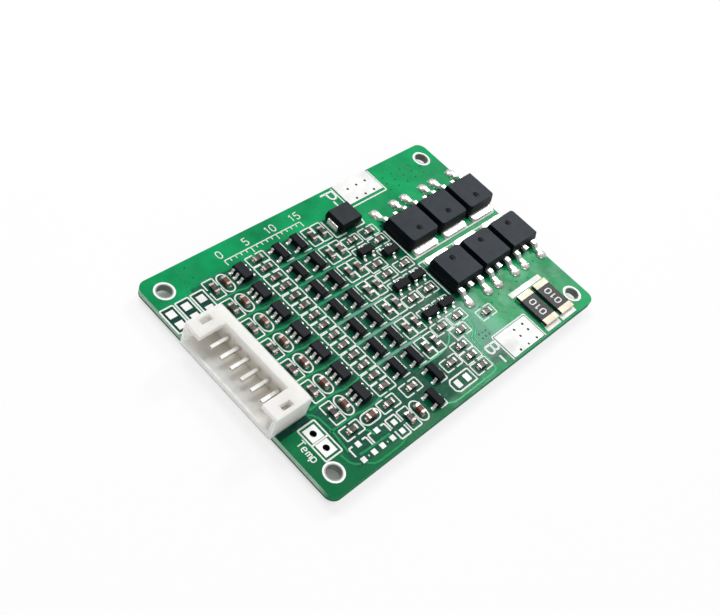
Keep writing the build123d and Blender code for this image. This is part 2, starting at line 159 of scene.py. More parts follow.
class Finish:
    """A node material that grows by small named steps."""

    SOCKETS = {
        "color": "Base Color", "rough": "Roughness", "metal": "Metallic",
        "specular": "Specular IOR Level", "under": "Subsurface Weight", "under_scale": "Subsurface Scale",
    }

    def __init__(self, name):
        self.material = bpy.data.materials.new(name)
        self.material.use_nodes = True
        self.tree = self.material.node_tree
        self.shader = self.tree.nodes["Principled BSDF"]
        self.place = self.tree.nodes.new("ShaderNodeTexCoord").outputs["Object"]

    def link(self, value, socket):
        if isinstance(value, bpy.types.NodeSocket):
            self.tree.links.new(value, socket)
        else:
            socket.default_value = value

    def maths(self, operation, first, second=0.0, third=0.0):
        node = self.tree.nodes.new("ShaderNodeMath")
        node.operation = operation
        for socket, value in zip(node.inputs, (first, second, third)):
            self.link(value, socket)
        return node.outputs[0]

    def times(self, first, second):
        return self.maths("MULTIPLY", first, second)

    def axes(self):
        split = self.tree.nodes.new("ShaderNodeSeparateXYZ")
        self.link(self.place, split.inputs[0])
        return split.outputs

    def noise(self, scale, detail=3.0, stretch=(1, 1, 1)):
        mapping = self.tree.nodes.new("ShaderNodeMapping")
        self.link(self.place, mapping.inputs["Vector"])
        mapping.inputs["Scale"].default_value = stretch
        node = self.tree.nodes.new("ShaderNodeTexNoise")
        self.link(mapping.outputs[0], node.inputs["Vector"])
        node.inputs["Scale"].default_value = scale
        node.inputs["Detail"].default_value = detail
        node.inputs["Roughness"].default_value = 0.55
        return node.outputs["Fac"]

    def span(self, value, low, high, start=0.0, end=1.0):
        node = self.tree.nodes.new("ShaderNodeMapRange")
        self.link(value, node.inputs["Value"])
        limits = {"From Min": low, "From Max": high, "To Min": start, "To Max": end}
        for name, number in limits.items():
            node.inputs[name].default_value = number
        return node.outputs["Result"]

    def mix_number(self, share, first, second):
        node = self.tree.nodes.new("ShaderNodeMix")
        for socket, value in zip(node.inputs[:1] + node.inputs[2:4], (share, first, second)):
            self.link(value, socket)
        return node.outputs[0]

    def mix(self, share, first, second):
        node = self.tree.nodes.new("ShaderNodeMix")
        node.data_type = "RGBA"
        self.link(share, node.inputs["Factor"])
        for name, value in (("A", first), ("B", second)):
            socket = next(s for s in node.inputs if s.name == name and s.type == "RGBA")
            self.link(value if isinstance(value, bpy.types.NodeSocket) else (*value, 1.0), socket)
        return next(s for s in node.outputs if s.type == "RGBA")

    def bump(self, height, distance, strength=1.0):
        node = self.tree.nodes.new("ShaderNodeBump")
        node.inputs["Strength"].default_value = strength
        node.inputs["Distance"].default_value = distance * MM
        self.link(height, node.inputs["Height"])
        self.tree.links.new(node.outputs[0], self.shader.inputs["Normal"])

    def set(self, **values):
        for key, value in values.items():
            self.link(value, self.shader.inputs[self.SOCKETS[key]])


def inside(finish, value, low, high, soft):
    """One between two limits, and falling to nothing over a soft edge."""
    rise = finish.span(value, (low - soft) * MM, (low + soft) * MM)
    fall = finish.span(value, (high - soft) * MM, (high + soft) * MM, 1.0, 0.0)
    return finish.times(rise, fall)


def field(finish, x, y, limits, soft):
    """One inside a rectangle of the board."""
    across, along = limits
    return finish.times(inside(finish, x, *across, soft), inside(finish, y, *along, soft))


def left_by(finish, share, least=0.0):
    """One where a share is nothing, and the least where it is whole."""
    return finish.span(share, 0, 1, 1, least)


def near_hole(finish, x, y, hole_x, hole_y, radius):
    """One inside a circle round a hole."""
    across = finish.maths("SUBTRACT", x, hole_x * MM)
    along = finish.maths("SUBTRACT", y, hole_y * MM)
    squares = finish.maths("MULTIPLY_ADD", across, across, finish.times(along, along))
    return finish.maths("LESS_THAN", squares, (radius * MM) ** 2)


def largest(finish, shares):
    """The largest of several shares."""
    whole = shares[0]
    for share in shares[1:]:
        whole = finish.maths("MAXIMUM", whole, share)
    return whole


def holes_of(finish, x, y, node, radius):
    """One inside a circle round the middle of each solid of a node."""
    middles = [centre(box) for box in solids(node)]
    return largest(finish, [near_hole(finish, x, y, m.x, m.y, radius) for m in middles])


# Colours

MASK_GREEN = (0.003, 0.380, 0.124)
MASK_DEEP = (0.002, 0.145, 0.049)
MASK_DARK = (0.002, 0.072, 0.044)
# Paler green of the poured corner: partly the pour's own tone, partly a painted sheen.
POUR_GREEN_WITH_PAINTED_SHEEN = (0.07, 0.40, 0.25)
LAMINATE = (0.46, 0.68, 0.53)
LAMINATE_VEIN = (0.28, 0.47, 0.33)
EDGE_GREEN = (0.012, 0.21, 0.09)
# Painted shade for the foot of the board's cut wall.
EDGE_FOOT_PAINTED_SHADE = (0.07, 0.10, 0.08)
TINNED_WALL = (0.40, 0.42, 0.39)
# Painted shade inside the sensor holes: their walls are made near black.
SENSOR_BORE_PAINTED_SHADE = (0.012, 0.016, 0.013)
INK_WHITE = (0.88, 0.89, 0.87)
INK_WORN = (0.66, 0.72, 0.68)
# Painted shade on the sides of the mouldings.
PAINTED_SIDE_SHADE = (0.002, 0.004, 0.007)
POWER_TOP_DARK = (0.016, 0.023, 0.031)
POWER_TOP_PALE = (0.024, 0.032, 0.043)
# Painted shade in the dimples of the power transistors.
DIMPLE_PAINTED_SHADE = (0.002, 0.002, 0.003)
RING_BRIGHT = (0.80, 0.80, 0.79)
RING_DULL = (0.74, 0.74, 0.72)
RIM_GREY = (0.30, 0.32, 0.30)
NYLON_PALE = (0.97, 0.93, 0.865)
NYLON_WARM = (0.94, 0.89, 0.80)
# Painted shade in the header's tray, greyer at its front and warmer towards its back.
TRAY_PAINTED_SHADE_GREY = (0.66, 0.66, 0.64)
TRAY_PAINTED_SHADE_WARM = (0.86, 0.81, 0.71)
# Painted shade along the foot of the header's front face.
FOOT_PAINTED_SHADE = (0.16, 0.18, 0.15)
NYLON_SPREAD = (0.80, 0.86, 0.84)
FLOOR_WHITE = (0.93, 0.93, 0.93)
FLOOR_PALE = (0.95, 0.95, 0.95)


def board_skin(finish, x, y, cloud):
    """Colour of the lacquered top, with painted shade towards the near side, a poured corner made paler
    partly by painted sheen, and the shares of it that are dark and poured.
    """
    green = finish.mix(finish.span(cloud, 0.35, 0.8), MASK_GREEN, MASK_DEEP)
    # Painted shade: the lacquer darkens towards the near side and the left, standing for light that falls
    # off there.
    near = finish.times(finish.span(y, -2 * MM, -15 * MM), finish.span(x, 6 * MM, -4 * MM))
    green = finish.mix(near, green, MASK_DEEP)
    poured = field(finish, x, y, POURED_CORNER, 0.8)
    # Partly painted sheen: the poured corner is mixed towards a paler green.
    green = finish.mix(finish.times(poured, 0.55), green, POUR_GREEN_WITH_PAINTED_SHEEN)
    cells = field(finish, x, y, CELL_FIELD, 0.25)
    cells = finish.times(cells, left_by(finish, field(finish, x, y, DIODE_CORNER, 0.25)))
    cells = finish.times(cells, left_by(finish, poured, 0.45))
    patches = finish.span(finish.noise(900, 2, stretch=(1, 2.4, 1)), 0.40, 0.56)
    dark = finish.times(cells, finish.maths("MULTIPLY_ADD", patches, 0.35, 0.6))
    return finish.mix(dark, green, MASK_DARK), dark, poured


def cut_edge(finish, y, z):
    """Colour of the board's cut wall: woven laminate, green along the near side, with painted shade at the
    foot.
    """
    weave = finish.span(finish.noise(900, 3, stretch=(1, 1, 6)), 0.3, 0.75)
    wall = finish.mix(weave, LAMINATE, LAMINATE_VEIN)
    wall = finish.mix(finish.span(y, -19.0 * MM, -17.2 * MM, 1, 0), wall, EDGE_GREEN)
    # Painted shade: the lowest part of the wall goes dark.
    return finish.mix(finish.span(z, 0.36 * MM, 0.26 * MM), wall, EDGE_FOOT_PAINTED_SHADE)


def solder_mask():
    """Green lacquer over glass fibre board, with bare laminate at the cut edges."""
    finish = Finish("solder_mask_finish")
    x, y, z = finish.axes()
    cloud = finish.noise(140, 4)
    fine = finish.noise(2600, 2)
    top, dark, poured = board_skin(finish, x, y, cloud)
    edge = inside(finish, z, 0.02, BOARD_TOP - 0.05, 0.01)
    skin = finish.mix(edge, top, cut_edge(finish, y, z))
    mount = holes_of(finish, x, y, "mount_rings", RING_BORE)
    sensor = holes_of(finish, x, y, "sensor_pads", SENSOR_BORE)
    haze = finish.span(finish.noise(420, 4), 0.38, 0.66)
    gloss = finish.maths("MULTIPLY_ADD", haze, 0.16, finish.span(fine, 0.3, 0.7, 0.16, 0.22))
    matt = finish.times(dark, finish.span(x, -3 * MM, 2 * MM, 1, 0))
    rough = finish.mix_number(poured, finish.mix_number(matt, gloss, 0.42), 0.19)
    finish.set(
        # The walls of the sensor holes carry painted shade.
        color=finish.mix(sensor, finish.mix(mount, skin, TINNED_WALL), SENSOR_BORE_PAINTED_SHADE),
        metal=mount, rough=finish.mix_number(edge, rough, 0.9), specular=0.08,
    )
    finish.bump(finish.maths("ADD", cloud, finish.times(fine, 0.15)), 0.02)
    return finish.material


def mask_over_copper(name, first, second, rough=0.27):
    """The same lacquer where it runs over a raised track."""
    finish = Finish(name)
    fine = finish.noise(1800, 3)
    finish.set(color=finish.mix(finish.span(fine, 0.35, 0.7), first, second), rough=rough, specular=0.08)
    finish.bump(fine, 0.01)
    return finish.material


def printed_ink():
    """White print, thin in places."""
    finish = Finish("white_print_ink")
    worn = finish.noise(3200, 3)
    finish.set(color=finish.mix(finish.span(worn, 0.55, 0.8), INK_WHITE, INK_WORN), rough=0.55)
    finish.bump(worn, 0.01)
    return finish.material


def moulding_with_shaded_sides(finish, z, node, deep, shallow, dark, pale):
    """Colour of a moulding, paler on the top of a node than on its sides, which carry painted shade."""
    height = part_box(node)[1].z
    top = finish.span(z, height - deep * MM, height - shallow * MM)
    cloud = finish.noise(500, 3)
    return finish.mix(top, PAINTED_SIDE_SHADE, finish.mix(finish.span(cloud, 0.35, 0.7), dark, pale))


def moulded_epoxy(name, node, dark, pale, rough):
    """Fine matt black moulding of the small packages."""
    finish = Finish(name)
    grain = finish.noise(9000, 2)
    finish.set(
        # The sides carry painted shade.
        color=moulding_with_shaded_sides(finish, finish.axes()[2], node, 0.10, 0.03, dark, pale),
        rough=finish.span(grain, 0.3, 0.7, rough - 0.05, rough + 0.08), specular=0.15,
    )
    finish.bump(grain, 0.012, 0.7)
    return finish.material


def power_epoxy():
    """The power transistors' moulding, bluish on top, with painted shade on its sides and in its dimple."""
    finish = Finish("power_body_finish")
    x, y, z = finish.axes()
    grain = finish.noise(9000, 2)
    dimples = []
    for number in POWER_PARTS:
        middle = centre(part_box(f"mosfet_body_{number}"))
        offset = -DIMPLE_OFFSET if number in FAR_POWER_PARTS else DIMPLE_OFFSET
        # Painted shade: a dark circle in each dimple, shifted a little from its middle.
        spot = (middle.x + DIMPLE_X, middle.y + offset + DIMPLE_Y)
        dimples.append(near_hole(finish, x, y, *spot, DIMPLE_RADIUS))
    dimple = largest(finish, dimples)
    # The sides carry painted shade.
    body = moulding_with_shaded_sides(finish, z, "mosfet_body_1", 0.12, 0.04, POWER_TOP_DARK, POWER_TOP_PALE)
    finish.set(
        color=finish.mix(dimple, body, DIMPLE_PAINTED_SHADE),
        rough=finish.mix_number(dimple, finish.span(grain, 0.3, 0.7, 0.42, 0.54), 0.75),
        specular=0.16,
    )
    finish.bump(grain, 0.012, 0.7)
    return finish.material


def metal(name, bright, dull, rough, grain, bump, metallic=1.0):
    """Tinned metal, with cloudy dull places and a fine uneven surface."""
    finish = Finish(name)
    cloud = finish.noise(grain, 4)
    finish.set(
        color=finish.mix(finish.span(cloud, 0.35, 0.72), bright, dull),
        rough=finish.span(cloud, 0.3, 0.7, rough * 0.7, rough * 1.35),
        metal=metallic,
    )
    finish.bump(cloud, bump)
    return finish.material


def ring_metal():
    """Tinned ring round a hole, grey along its inner rim."""
    finish = Finish("mount_ring_finish")
    x, y = finish.axes()[:2]
    cloud = finish.noise(350, 4)
    rim = holes_of(finish, x, y, "mount_rings", RING_RIM)
    tin = finish.mix(finish.span(cloud, 0.35, 0.72), RING_BRIGHT, RING_DULL)
    finish.set(
        color=finish.mix(rim, tin, RIM_GREY), rough=finish.span(cloud, 0.3, 0.7, 0.40, 0.56), metal=0.4,
    )
    finish.bump(cloud, 0.015)
    return finish.material


def header_plastic():
    """Natural nylon that lets some light through, with painted shade in the tray and along the foot of its
    front face.
    """
    finish = Finish("header_nylon_finish")
    cloud = finish.noise(260, 3)
    fine = finish.noise(4200, 2)
    x, y, z = finish.axes()
    low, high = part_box("header_housing")
    shell = finish.mix(finish.span(cloud, 0.3, 0.75), NYLON_PALE, NYLON_WARM)
    # Painted shade: inside the tray, away from its ends and below its top, the nylon is darker, greyer at
    # the front and warmer towards the back.
    tray = finish.mix(finish.span(x, low.x + 0.6 * MM, low.x + 3.6 * MM), TRAY_PAINTED_SHADE_GREY, TRAY_PAINTED_SHADE_WARM)
    painted_shade_area = inside(finish, x, low.x / MM + 0.3, high.x / MM - 1.75, 0.12)
    painted_shade_area = finish.times(painted_shade_area, inside(finish, y, low.y / MM + 3.2, high.y / MM - 3.2, 0.8))
    painted_shade_area = finish.times(painted_shade_area, inside(finish, z, low.z / MM + 0.5, high.z / MM - 1.6, 0.5))
    # Painted shade: a dark rim along the foot of the front face, where the header overhangs the board.
    foot = finish.span(z, low.z + 0.10 * MM, low.z + 0.22 * MM, 1, 0)
    painted_foot_shade = finish.times(foot, finish.span(x, low.x + 0.1 * MM, low.x + 0.3 * MM, 0.8, 0))
    finish.set(
        color=finish.mix(painted_foot_shade, finish.mix(painted_shade_area, shell, tray), FOOT_PAINTED_SHADE),
        rough=finish.span(fine, 0.3, 0.7, 0.30, 0.42),
        under=0.9, under_scale=3.4 * MM, specular=0.42,
    )
    finish.shader.inputs["Subsurface Radius"].default_value = NYLON_SPREAD
    finish.bump(fine, 0.01)
    return finish.material


def glazed_chip(name, dark, warm, film_span, rough):
    """Dark overglaze with the uneven tone of printed film under it."""
    finish = Finish(name)
    film = finish.noise(1500, 3)
    finish.set(color=finish.mix(finish.span(film, *film_span), dark, warm), rough=rough, specular=0.35)
    finish.bump(finish.noise(7000, 2), 0.01)
    return finish.material


def shaded_floor():
    """Plain white sweep that keeps a soft share of the shadow."""
    finish = Finish("studio_floor_finish")
    x, y = finish.axes()[:2]
    finish.set(color=finish.mix(finish.noise(30, 2), FLOOR_WHITE, FLOOR_PALE), rough=0.9, specular=0.1)
    nodes, links = finish.tree.nodes, finish.tree.links
    glow = nodes.new("ShaderNodeEmission")
    glow.inputs["Color"].default_value = (1, 1, 1, 1)
    rays = nodes.new("ShaderNodeLightPath").outputs
    seen = largest(finish, [rays[f"Is {kind} Ray"] for kind in ("Camera", "Glossy", "Transmission")])
    share = finish.span(field(finish, x, y, SHADED_FLOOR, 0.8), 0, 1, 0.80, 0.12)
    blend = nodes.new("ShaderNodeMixShader")
    finish.link(finish.times(seen, share), blend.inputs[0])
    links.new(finish.shader.outputs[0], blend.inputs[1])
    links.new(glow.outputs[0], blend.inputs[2])
    links.new(blend.outputs[0], nodes["Material Output"].inputs["Surface"])
    return finish.material


# Finishes

BOARD_FINISH = solder_mask()
TRACK_FINISH = mask_over_copper("mask_over_track_finish", (0.020, 0.30, 0.105), (0.012, 0.22, 0.085))
# Painted sheen: the pours nearer the front get this paler green, and the far ones a darker one.
POUR_PAINTED_SHEEN_FINISH = mask_over_copper("mask_over_pour_painted_sheen_finish", (0.16, 0.40, 0.29), (0.10, 0.32, 0.22))
POUR_FINISH = mask_over_copper("mask_over_far_pour_finish", (0.03, 0.31, 0.15), (0.02, 0.24, 0.11))
CURVE_FINISH = mask_over_copper(
    "mask_over_corner_track_finish", (0.09, 0.50, 0.25), (0.06, 0.42, 0.20), rough=0.2
)
# Dark plates of painted shade and shadow.
PAINTED_SHADE_FINISH = mask_over_copper(
    "painted_shade_patch_finish", (0.004, 0.068, 0.044), (0.003, 0.040, 0.029), rough=0.5
)
VIA_SHADE = mask_over_copper("via_shade_finish", (0.003, 0.085, 0.045), (0.006, 0.13, 0.07), rough=0.5)
INK = printed_ink()
POWER_BODY = power_epoxy()
SMALL_BODY = moulded_epoxy(
    "small_body_finish", "monitor_body_1", dark=(0.010, 0.012, 0.017), pale=(0.015, 0.018, 0.024), rough=0.52
)
DIODE_BODY = moulded_epoxy(
    "diode_body_finish", "diode_body", dark=(0.018, 0.022, 0.027), pale=(0.025, 0.030, 0.036), rough=0.50
)
BRIGHT_TIN = metal(
    "bright_tin_finish", bright=(0.92, 0.91, 0.89), dull=(0.84, 0.82, 0.79),
    rough=0.34, grain=900, bump=0.02, metallic=0.5,
)
PAD_TIN = metal(
    "pad_tin_finish", bright=(0.79, 0.79, 0.78), dull=(0.76, 0.76, 0.745),
    rough=0.52, grain=350, bump=0.008, metallic=0.25,
)
RING_TIN = ring_metal()
SOLDER = metal(
    "solder_finish", bright=(0.93, 0.91, 0.88), dull=(0.62, 0.58, 0.53),
    rough=0.24, grain=1100, bump=0.04, metallic=0.8,
)
CHIP_SOLDER = metal(
    "chip_solder_finish", bright=(0.60, 0.53, 0.48), dull=(0.28, 0.23, 0.20),
    rough=0.30, grain=1900, bump=0.05, metallic=0.9,
)
PIN_METAL = metal(
    "header_pin_finish", bright=(0.92, 0.91, 0.88), dull=(0.80, 0.79, 0.76), rough=0.24, grain=700, bump=0.01
)
CHIP_END = metal(
    "chip_end_finish", bright=(0.56, 0.49, 0.45), dull=(0.25, 0.20, 0.18),
    rough=0.38, grain=2100, bump=0.03, metallic=0.85,
)
SHUNT_END = metal(
    "shunt_end_finish", bright=(0.83, 0.74, 0.58), dull=(0.74, 0.65, 0.49),
    rough=0.45, grain=500, bump=0.01, metallic=0.15,
)
NYLON = header_plastic()
RESISTOR_GLAZE = glazed_chip(
    "resistor_glaze", (0.022, 0.021, 0.022), (0.20, 0.16, 0.15), film_span=(0.45, 0.75), rough=0.35
)
SHUNT_GLAZE = glazed_chip(
    "shunt_glaze", (0.014, 0.015, 0.016), (0.028, 0.030, 0.031), film_span=(0.4, 0.8), rough=0.45
)
CAPACITOR_CERAMIC = glazed_chip(
    "capacitor_ceramic_finish", (0.12, 0.036, 0.022), (0.22, 0.075, 0.048), film_span=(0.35, 0.7), rough=0.45
)
# Painted shade for the holes of the wire pads.
DOT_SHADE = glazed_chip(
    "hole_shade_finish", (0.02, 0.024, 0.02), (0.06, 0.06, 0.05), film_span=(0.4, 0.7), rough=0.6
)


# Modelling helpers


def only(obj):
    """Selects one object and makes it active."""
    bpy.ops.object.select_all(action="DESELECT")
    obj.select_set(True)
    bpy.context.view_layer.objects.active = obj


def settle(obj):
    """Puts an object's place into its mesh."""
    only(obj)
    bpy.ops.object.transform_apply(location=True, rotation=True, scale=True)


def placed(name, data):
    """A new object in the scene that shows a mesh, curve, lamp or camera."""
    obj = bpy.data.objects.new(name, data)
    bpy.context.scene.collection.objects.link(obj)
    return obj


def finished(obj, name, material):
    """Names a piece, gives it one finish and fixes it to the board."""
    obj.name = name
    obj.data.name = name
    dress(obj, material)
    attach(obj, "root")


def dress(obj, material):
    """Gives an object one finish in place of what it had."""
    obj.data.materials.clear()
    obj.data.materials.append(material)


def joined(objects):
    """Several meshes made one."""
    bpy.ops.object.select_all(action="DESELECT")
    for obj in objects:
        obj.select_set(True)
    bpy.context.view_layer.objects.active = objects[0]
    bpy.ops.object.join()
    return objects[0]


def rounded(points, closed, radius):
    """The same line with each corner cut by two near points, so that its width holds."""
    count = len(points)
    result = []
    for index, point in enumerate(points):
        if not closed and index in (0, count - 1):
            result.append(point)
            continue
        for other in (points[index - 1], points[(index + 1) % count]):
            length = hypot(other[0] - point[0], other[1] - point[1])
            share = min(radius / length, 0.45)
            result.append((
                point[0] + (other[0] - point[0]) * share,
                point[1] + (other[1] - point[1]) * share,
            ))
    return result


def strokes(name, lines, width, height, corner):
    """Raised lines on the board, drawn as tubes and pressed flat."""
    curve = bpy.data.curves.new(name, "CURVE")
    curve.dimensions = "3D"
    curve.bevel_depth = width / 2 * MM
    curve.bevel_resolution = 1
    curve.use_fill_caps = True
    for points, closed in lines:
        path = rounded(points, closed, corner)
        spline = curve.splines.new("POLY")
        spline.points.add(len(path) - 1)
        for knot, (x, y) in zip(spline.points, path):
            knot.co = (x * MM, y * MM, 0, 1)
        spline.use_cyclic_u = closed
    obj = placed(name, curve)
    only(obj)
    bpy.ops.object.convert(target="MESH")
    obj.scale.z = 2 * height / width
    obj.location.z = BOARD_TOP * MM
    settle(obj)
    return obj


def printed(name, lines, width, corner=0.12):
    """A piece of white print on the board."""
    finished(strokes(name, lines, width, PRINT_HEIGHT, corner), name, INK)


def track(name, lines, width, material, corner=0.6):
    """A piece made of raised tracks under the lacquer."""
    finished(strokes(name, lines, width, TRACK_HEIGHT, corner), name, material)


def repeated(pattern, places, name, material):
    """One piece from many placed copies of a pattern, each with its own mesh."""
    made = []
    for x, y, z, turn, size in places:
        obj = placed(name, pattern.data.copy())
        scale = Matrix.Diagonal((*size, 1))
        move = Matrix.Translation(Vector((x, y, z)) * MM)
        obj.data.transform(move @ Matrix.Rotation(turn, 4, "Z") @ scale)
        made.append(obj)
    finished(joined(made), name, material)


def edit(obj):
    """Goes into edit mode with all of a mesh selected."""
    only(obj)
    bpy.ops.object.mode_set(mode="EDIT")
    bpy.ops.mesh.select_all(action="SELECT")


def softened(node, name, width, material):
    """The solid of a node with its edges eased, standing for that node."""
    obj = placed(name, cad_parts[node].data.copy())
    edit(obj)
    bpy.ops.mesh.remove_doubles(threshold=0.002 * MM)
    bpy.ops.mesh.dissolve_limited(angle_limit=radians(2))
    bpy.ops.object.mode_set(mode="OBJECT")
    bpy.ops.object.shade_smooth_by_angle(angle=radians(5))
    bevel = obj.modifiers.new("eased_edges", "BEVEL")
    bevel.width = width * MM
    bevel.segments = 2
    bevel.limit_method = "ANGLE"
    bevel.angle_limit = radians(25)
    bevel.harden_normals = True
    bpy.ops.object.modifier_apply(modifier=bevel.name)
    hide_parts(node)
    finished(obj, name, material)


def mound():
    """A low drop of solder: the upper part of a ball, cut flat where it wets the pad."""
    bpy.ops.mesh.primitive_uv_sphere_add(segments=12, ring_count=8, radius=MM)
    obj = bpy.context.object
    edit(obj)
    bpy.ops.mesh.bisect(
        plane_co=(0, 0, -0.1 * MM), plane_no=(0, 0, 1), clear_inner=True, use_fill=True
    )
    bpy.ops.mesh.select_all(action="SELECT")
    bpy.ops.mesh.normals_make_consistent(inside=False)
    bpy.ops.object.mode_set(mode="OBJECT")
    bpy.ops.object.shade_smooth_by_angle(angle=radians(50))
    return obj


def disc():
    """A thin round plate with an eased rim, one millimetre in radius."""
    bpy.ops.mesh.primitive_cylinder_add(vertices=12, radius=MM, depth=DISC_HEIGHT * MM)
    obj = bpy.context.object
    edit(obj)
    bpy.ops.mesh.bevel(offset=0.01 * MM, segments=1, affect="EDGES")
    bpy.ops.object.mode_set(mode="OBJECT")
    return obj


def tile():
    """A thin square plate with eased edges, one millimetre across."""
    bpy.ops.mesh.primitive_cube_add(size=MM)
    obj = bpy.context.object
    obj.scale.z = PLATE_HEIGHT
    settle(obj)
    edit(obj)
    bpy.ops.mesh.bevel(offset=0.012 * MM, segments=1, affect="EDGES")
    bpy.ops.object.mode_set(mode="OBJECT")
    return obj


# Layout of the print, in millimetres


def open_line(*points):
    return list(points), False


def closed_line(*points):
    return list(points), True


def turned(points, x, y, turn=0.0):
    """Points turned about the origin and moved to a place."""
    return [
        (x + px * cos(turn) - py * sin(turn), y + px * sin(turn) + py * cos(turn))
        for px, py in points
    ]


def bracket_frame(x, y, turn, length=3.4, width=1.87, gap=0.5):
    """The two facing brackets that frame a chip."""
    lines = []
    for side in (-1, 1):
        points = [
            (side * gap / 2, width / 2), (side * length / 2, width / 2),
            (side * length / 2, -width / 2), (side * gap / 2, -width / 2),
        ]
        lines.append(open_line(*turned(points, x, y, turn)))
    return lines


def stadium(x, y, turn, length=3.35, width=1.75, steps=6):
    """A rounded frame, as round a capacitor."""
    radius = width / 2
    reach = length / 2 - radius
    points = []
    for side in (1, -1):
        for step in range(steps + 1):
            angle = -pi / 2 + pi * step / steps
            points.append((side * (reach + radius * cos(angle)), side * radius * sin(angle)))
    return [closed_line(*turned(points, x, y, turn))]


def chip_places(node):
    """Middle and turn of each chip of a node, from its ceramic slab."""
    places = []
    for low, high in solids(node):
        size = high - low
        middle = centre((low, high))
        places.append((middle.x, middle.y, 0.0 if size.x > size.y else pi / 2))
    return places


RESISTORS = chip_places("cell_resistor_cores") + chip_places("driver_resistor_cores")
CAPACITORS = chip_places("capacitor_cores")
ROWS = [centre(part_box(f"monitor_body_{number}")).y for number in MONITORS]
BLEED = [centre(box) for box in solids("bleed_transistor_bodies")]
SIGNAL = [centre(box) for box in solids("signal_transistor_bodies")]
DRIVERS = solids("driver_transistor_bodies")

# Print beside the three-lead transistors, from the middle of each
ROW_MARKS = (
    ((-0.05, -1.62), (1.45, -1.62)),
    ((1.45, -0.85), (1.45, 1.65), (0.2, 1.65)),
)
WIDE_DRIVER_MARKS = (
    ((-1.6, 0.2), (-1.6, 1.3), (-0.6, 1.3)),
    ((0.4, 1.3), (1.6, 1.3), (1.6, 0.3)),
)
TALL_DRIVER_MARKS = (((-0.1, -1.62), (1.4, -1.62), (1.4, -0.8)),)


def component_frames():
    """Frames of the chips and marks beside the small transistors."""
    lines = []
    for place in RESISTORS:
        lines += bracket_frame(*place)
    for place in CAPACITORS:
        lines += stadium(*place)
    for middle in BLEED + SIGNAL:
        lines += [open_line(*turned(points, middle.x, middle.y)) for points in ROW_MARKS]
    for low, high in DRIVERS:
        middle = centre((low, high))
        marks = WIDE_DRIVER_MARKS if high.x - low.x > high.y - low.y else TALL_DRIVER_MARKS
        lines += [open_line(*turned(points, middle.x, middle.y)) for points in marks]
    return lines


def board_marks():
    """Borders of the pads and the marks round the larger parts."""
    edge = HALF_WIDTH - PRINT_WIDTH
    lines = [
        open_line((7.75, edge), (7.75, 15.0), (16.25, 15.0), (16.25, edge)),
        open_line((8.3, -edge), (8.3, -15.05), (16.5, -15.05), (16.5, -edge)),
        open_line((1.35, 15.3), (1.35, 11.6), (3.5, 11.6)),
        open_line((5.5, 11.6), (7.5, 11.6), (7.7, 12.6)),
        open_line((9.0, 8.8), (9.0, 2.0), (29.4, 2.0)),
        open_line((8.9, -6.0), (8.9, 1.0), (29.4, 1.0)),
        closed_line((-27.05, -9.9), (-24.05, -9.9), (-24.05, -15.4), (-27.05, -15.4)),
        open_line((-27.05, -12.65), (-24.05, -12.65)),
        closed_line((-3.3, -16.5), (0.6, -16.5), (0.6, -18.7), (-3.3, -18.7), (-3.8, -18.2), (-3.8, -17.0)),
    ]
    for x in LINK_COLUMNS:
        lines.append(closed_line((x - 1.1, 14.6), (x + 1.1, 14.6), (x + 1.1, 10.3), (x - 1.1, 10.3)))
    for x in (-23.3, -19.7):
        lines.append(open_line((x + 0.7, -15.8), (x, -15.8), (x, -17.2)))
        lines.append(open_line((x + 2.5, -15.8), (x + 3.2, -15.8), (x + 3.2, -17.2)))
    for x, y in ((-21.7, -18.05), (-18.1, -18.1), (-16.1, -16.85)):
        lines.append(open_line((x - 0.08, y), (x + 0.08, y)))
    return lines + bracket_frame(-15.2, -17.3, pi / 2)


def scale_print(first_x, length, y):
    """A plain millimetre scale where the board has room for print."""
    lines = [open_line((first_x, y), (first_x + length, y))]
    for step in range(length + 1):
        tick = 1.0 if step % 5 == 0 else 0.55
        lines.append(open_line((first_x + step, y), (first_x + step, y - tick)))
    return lines


# Plain stroke letters in a box one unit high
GLYPHS = {
    "P": [open_line((0, 0), (0, 1), (0.42, 1), (0.6, 0.86), (0.6, 0.62), (0.42, 0.48), (0, 0.48))],
    "B": [open_line((0, 0), (0, 1), (0.4, 1), (0.55, 0.88), (0.55, 0.66), (0.4, 0.53), (0, 0.53)),
          open_line((0.4, 0.53), (0.6, 0.4), (0.6, 0.13), (0.4, 0), (0, 0))],
    "T": [open_line((0, 1), (0.64, 1)), open_line((0.32, 1), (0.32, 0))],
    "e": [open_line((0.03, 0.34), (0.5, 0.34), (0.5, 0.5), (0.38, 0.66), (0.15, 0.66), (0.03, 0.5),
                    (0.03, 0.14), (0.15, 0), (0.47, 0))],
    "m": [open_line((0, 0), (0, 0.66)), open_line((0, 0.52), (0.14, 0.66), (0.3, 0.52), (0.3, 0)),
          open_line((0.3, 0.52), (0.45, 0.66), (0.6, 0.52), (0.6, 0))],
    "p": [open_line((0, -0.32), (0, 0.66), (0.38, 0.66), (0.52, 0.52), (0.52, 0.14), (0.38, 0), (0, 0))],
    "-": [open_line((0.02, 0.5), (0.58, 0.5))],
    "0": [closed_line((0.16, 0), (0, 0.2), (0, 0.8), (0.16, 1), (0.44, 1), (0.6, 0.8), (0.6, 0.2),
                      (0.44, 0))],
    "1": [open_line((0.12, 0.78), (0.34, 1), (0.34, 0))],
    "5": [open_line((0.58, 1), (0.08, 1), (0.03, 0.56), (0.4, 0.6), (0.6, 0.42), (0.6, 0.16), (0.42, 0),
                    (0.12, 0), (0, 0.12))],
}


def lettering(text, x, y, turn, height, advance):
    """Lines of a text, from a start point along a direction."""
    lines = []
    for index, letter in enumerate(text):
        for points, closed in GLYPHS[letter]:
            drawn = [((px + index * advance) * height, py * height) for px, py in points]
            lines.append((turned(drawn, x, y, turn), closed))
    return lines


